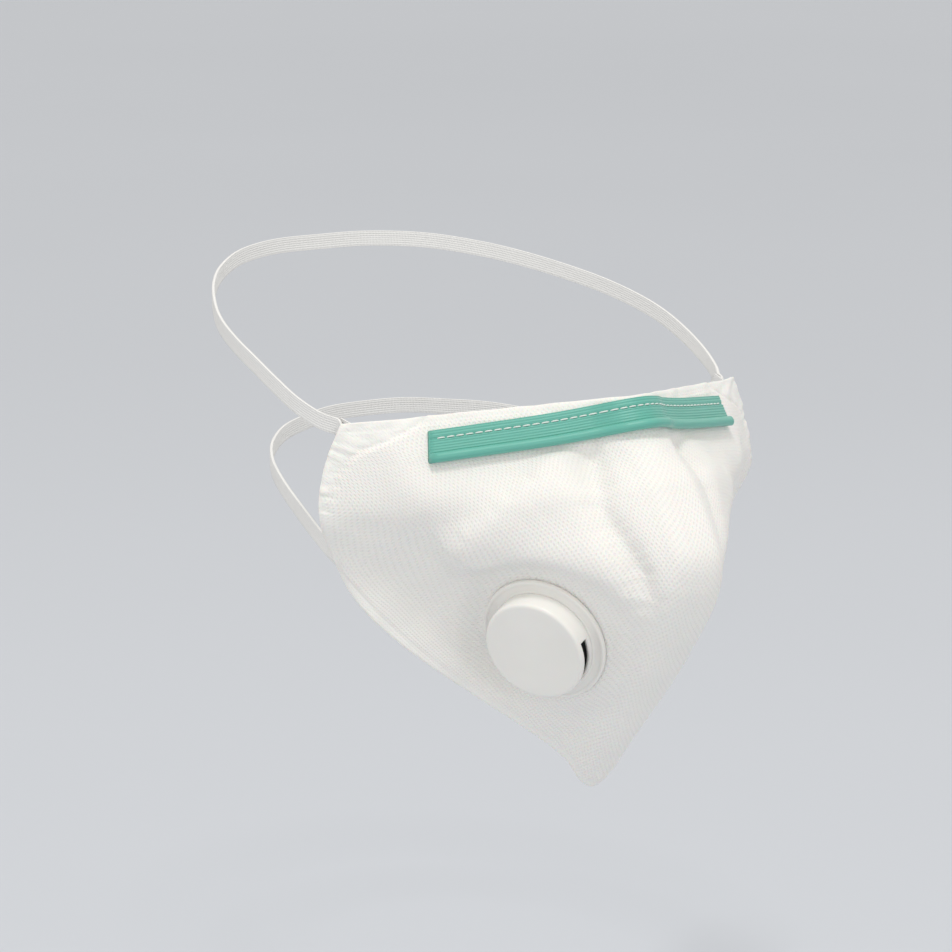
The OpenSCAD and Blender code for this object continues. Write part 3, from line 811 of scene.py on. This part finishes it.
def rounded(profile, corners, steps=5):
    """A profile of (radius, height) whose listed corners are rounded to the given radii."""
    out = []
    m = len(profile)
    profile = np.array(profile, float)
    for k, p in enumerate(profile):
        r = corners[k]
        if not r:
            out.append(p)
            continue
        a, b = unit(profile[k - 1] - p), unit(profile[(k + 1) % m] - p)
        for t in np.linspace(0, 1, steps):
            w0, w1, w2 = (1 - t) ** 2, 2 * t * (1 - t), t * t
            out.append((p + a * r) * w0 + p * w1 + (p + b * r) * w2)
    return np.array(out)


def lathe(profile, around=128):
    """Points and faces of a closed profile of (radius, height) turned about the axis."""
    n = len(profile)
    angle = np.arange(around) * 2 * math.pi / around
    points = [[r * math.cos(a), r * math.sin(a), z] for a in angle for r, z in profile]
    faces = []
    for k in range(around):
        for i in range(n):
            a, b = k * n + i, k * n + (i + 1) % n
            c, d = (a + n) % (n * around), (b + n) % (n * around)
            faces.append((a, b, d, c))
    return points, faces


def with_painted_inner_shade(piece, r, low, high):
    """White outside. Painted shade, near black, inside that radius and between those heights, where the slot
    shows the inside of the white valve.
    """
    piece.data.materials.append(valve_look)
    piece.data.materials.append(valve_painted_shade)
    for face in piece.data.polygons:
        away = np.array(face.center) / MM - valve_at
        z = away @ valve_out
        if low < z < high and math.sqrt(max(away @ away - z * z, 0)) < r:
            face.material_index = 1


BORE_R, WALL, LIP_H = 11.5, 1.2, 1.0
# The hub stands a little proud of its spokes
HUB_R, HUB_PROUD = 2.5, 0.1
CAP_R, CAP_H, CAP_T = 16.0, 6.6, 1.0
flange_top = CLEAR + FLANGE_T
cap_top = flange_top + CAP_H
hook_bottom = -LAMINATE_T - CLEAR - 1.4 - 0.15 - 0.8

FLANGE_STEP = 0.22
base_profile = rounded(
    [(BORE_R, hook_bottom), (BORE_R + WALL + 0.65, hook_bottom), (BORE_R + WALL + 0.65, hook_bottom + 0.8),
     (BORE_R + WALL, hook_bottom + 0.8), (BORE_R + WALL, CLEAR), (FLANGE_D / 2, CLEAR),
     (FLANGE_D / 2, flange_top), (FLANGE_D / 2 - 1.0, flange_top),
     (FLANGE_D / 2 - 1.35, flange_top - FLANGE_STEP), (CAP_R + 0.55, flange_top - FLANGE_STEP),
     (CAP_R + 0.25, flange_top), (CAP_R - CAP_T, flange_top),
     (BORE_R + WALL / 2, flange_top),
     (BORE_R + WALL / 2, flange_top + LIP_H), (BORE_R, flange_top + LIP_H)],
    [0, 0.3, 0, 0, 0, 0.3, 0.55, 0.25, 0.2, 0.2, 0.1, 0, 0, 0.15, 0.15])
points, faces = lathe(base_profile)

# Three spokes and their hub under the flap
SPOKE_HALF, SPOKE_IN_WALL = 0.7, 0.3
BOX_FACES = ((3, 2, 1, 0), (4, 5, 6, 7), (0, 1, 5, 4), (1, 2, 6, 5), (2, 3, 7, 6), (3, 0, 4, 7))
for a in np.radians((30, 90, 150)):
    cos_a, sin_a = math.cos(a), math.sin(a)
    base = len(points)
    for z in (CLEAR, flange_top):
        for sx, sy in ((-1, -1), (1, -1), (1, 1), (-1, 1)):
            x, y = sx * (BORE_R + SPOKE_IN_WALL), sy * SPOKE_HALF
            points.append([x * cos_a - y * sin_a, x * sin_a + y * cos_a, z])
    faces += [tuple(base + i for i in f) for f in BOX_FACES]
low, high = CLEAR - HUB_PROUD, flange_top + HUB_PROUD
hub, hub_faces = lathe(rounded([(0, low), (HUB_R, low), (HUB_R, high), (0, high)], [0, 0.3, 0.3, 0]), 48)
faces += [tuple(len(points) + i for i in f) for f in hub_faces]
points += hub
valve_base = mesh_piece("valve_base_moulding", on_valve(points), faces)
# Painted shade on the base's floor under the cover, where the slot shows it
with_painted_inner_shade(valve_base, CAP_R - CAP_T, flange_top - 0.3, cap_top)
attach(valve_base, "mask")
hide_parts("valve_base")

SLOT_HALF, SLOT_H, SLOT_TURN = 24.0, 3.4, 10.0
slot_z = cap_top - CAP_T - SLOT_H - 0.4


def cap():
    """The cover, turned from its profile, with an outlet slot left open on either side."""
    slope = 0.15 / (CAP_H - 0.05)
    heights = (flange_top + 0.05, slot_z, slot_z + SLOT_H)
    outer = [(CAP_R - slope * (z - flange_top), z) for z in heights[::-1]]
    inner = [(CAP_R - CAP_T, z) for z in heights]
    top = [(r, cap_top) for r in (0.0, 4.0, 8.0, 12.0)] + [(CAP_R - 0.15, cap_top)]
    under = [(CAP_R - CAP_T, cap_top - CAP_T), (8.0, cap_top - CAP_T), (0.0, cap_top - CAP_T)]
    corners = [0, 0, 0, 0, 1.25, 0, 0, 0.18, 0.1, 0, 0, 0.4, 0, 0]
    profile = rounded(top + outer + inner + under, corners, 9)
    angles = np.radians(np.arange(0, 360, 2.0))
    n = len(profile)
    rim = [int(np.argmin(np.abs(profile[:, 0] - r) + np.abs(profile[:, 1] - z))) for r, z in
           (outer[0], outer[1], inner[1], inner[2])]
    points = [[r * math.cos(a), r * math.sin(a), z] for a in angles for r, z in profile]
    middles = [math.radians(90 - SLOT_TURN + side) for side in (0, 180)]
    opened = []
    for a in angles + math.radians(1):
        turns = [(a - m + math.pi) % (2 * math.pi) - math.pi for m in middles]
        opened.append(min(map(abs, turns)) < math.radians(SLOT_HALF))
    faces = []
    for k in range(len(angles)):
        after = (k + 1) % len(angles)
        for i in range(n):
            if opened[k] and (rim[0] <= i < rim[1] or rim[2] <= i < rim[3]):
                continue
            a, b, c, d = k * n + i, k * n + (i + 1) % n, after * n + (i + 1) % n, after * n + i
            faces.append((a, b, c, d))
        if opened[k]:
            for i, j in ((rim[0], rim[3]), (rim[2], rim[1])):
                faces.append((k * n + i, k * n + j, after * n + j, after * n + i))
        if opened[k] != opened[k - 1]:
            ring = [k * n + i for i in (*range(rim[0], rim[1] + 1), *range(rim[2], rim[3] + 1))]
            faces.append(tuple(ring if opened[k] else ring[::-1]))
    return points, faces


points, faces = cap()
valve_cover = mesh_piece("valve_cover_cap", on_valve(points), faces)
# Painted shade on the cover's inner side, seen through the slot
with_painted_inner_shade(valve_cover, CAP_R - CAP_T + 0.05, flange_top, cap_top - CAP_T + 0.05)
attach(valve_cover, "mask")
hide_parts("valve_cover")


def rubber_material():
    """Black silicone rubber."""
    p = Paint("flap_rubber")
    grain = p.noise(p.place(), 800.0, 2.0)
    p.bump(grain, 0.00001)
    p.set(Base_Color=p.mix(grain, (0.010, 0.010, 0.012, 1), (0.022, 0.022, 0.025, 1)),
          Roughness=p.stretch(grain, 0.3, 0.7, 0.5, 0.65))
    return p.material


def repaint(node, look):
    nodes[node].data.materials.clear()
    nodes[node].data.materials.append(look)


repaint("valve_flap", rubber_material())
for name in ("valve_clamp_ring", "flap_retainer"):
    repaint(name, valve_look)

# ---------------------------------------------------------------- welded band ends


WELD_RINGS, WELD_T, WELD_RUN = 41, 0.8, 14
# How deep under the shell's outside the pressed end lies
WELD_DEPTH = LAMINATE_T + 0.75


def weld(name, node, route, s, v):
    """The band's ends, pressed on the lining inside the corners and passing the band's round ends."""
    points, faces, uv = [], [], []
    outline = knit_outline()
    t = np.linspace(0, 1, WELD_RINGS)
    for side in (-1, 1):
        hinge = worn(route)[-1] * (side, 1, 1)
        i = int(round(v * CELLS_V))
        cells = [int(round((side * (s - ds) + 1) * CELLS_S)) for ds in (0.10, 0.06, 0.02)]
        start = [shell[i, j] - outward[i, j] * WELD_DEPTH for j in cells]
        inner = hinge - (side * (BAND_T + 0.25), 0, 0)
        line = along(np.array(start + [mixed(start[-1], inner, 0.5), inner, inner + (0, 1.8, 0.5)]), t)
        # Round at the end, and dimpled where it was welded
        half = BAND_W / 2 * np.sqrt(np.clip(1 - np.clip((t - 0.82) / 0.18, 0, 0.985) ** 2, 0, 1))
        flat = 0.75 + 0.25 * np.cos(t * WELD_RUN * math.pi) * (t < 0.5)
        way = unit(np.gradient(line, axis=0))
        up = unit(np.array([0, 0, 1.0]) - way * way[:, 2:3])
        rings = line[:, None] + up[:, None] * outline[None, :, :1] * half[:, None, None] \
            + np.cross(way, up)[:, None] * outline[None, :, 1:] * (WELD_T * flat / 2)[:, None, None]
        base = len(points)
        points += rings.reshape(-1, 3).tolist()
        faces += [tuple(base + k for k in f) for f in tube_faces(WELD_RINGS, len(outline))]
        uv += np.stack([np.tile(outline[:, 0] * BAND_W / 2, WELD_RINGS),
                        np.repeat(t * WELD_RUN, len(outline))], 1).tolist()
    piece = mesh_piece(name, points, faces, uv)
    piece.data.materials.append(elastic_look)
    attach(piece, "mask")
    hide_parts(node)


weld("upper_band_ends", "upper_band_welds", UPPER_ROUTE, 0.95, 0.94)
weld("lower_band_ends", "lower_band_welds", LOWER_ROUTE, 0.95, 0.06)

# ---------------------------------------------------------------- floor and light


def floor_material():
    """Plain and matt, with hardly any tone of its own."""
    p = Paint("pale_floor")
    soft = p.noise(p.place(), 1.5, 2.0)
    p.set(Base_Color=p.mix(soft, (0.56, 0.59, 0.64, 1), (0.60, 0.63, 0.68, 1)),
          Roughness=p.stretch(soft, 0, 1, 0.7, 0.9))
    return p.material


FLOOR_Z = -0.16
bpy.ops.mesh.primitive_plane_add(size=30, location=(0, 0, FLOOR_Z))
floor = bpy.context.object
floor.name = "floor"
floor.data.materials.append(floor_material())

world = bpy.data.worlds.new("studio")
world.use_nodes = True
world.node_tree.nodes["Background"].inputs["Color"].default_value = (1.0, 0.978, 0.945, 1)
world.node_tree.nodes["Background"].inputs["Strength"].default_value = 0.89
scene.world = world


def softbox(name, place, size, power):
    """A round area light that faces the origin."""
    light = bpy.data.lights.new(name, "AREA")
    light.shape = "DISK"
    light.size = size
    light.energy = power
    light.color = (1.0, 0.985, 0.96)
    box = bpy.data.objects.new(name, light)
    box.location = place
    box.rotation_euler = Vector(place).to_track_quat("Z", "Y").to_euler()
    scene.collection.objects.link(box)


softbox("overhead", (-0.30, -0.46, 1.42), 0.30, 7.0)
softbox("low_fill", (-0.80, -1.30, -0.12), 0.90, 2.5)
scene.view_settings.view_transform = "Standard"
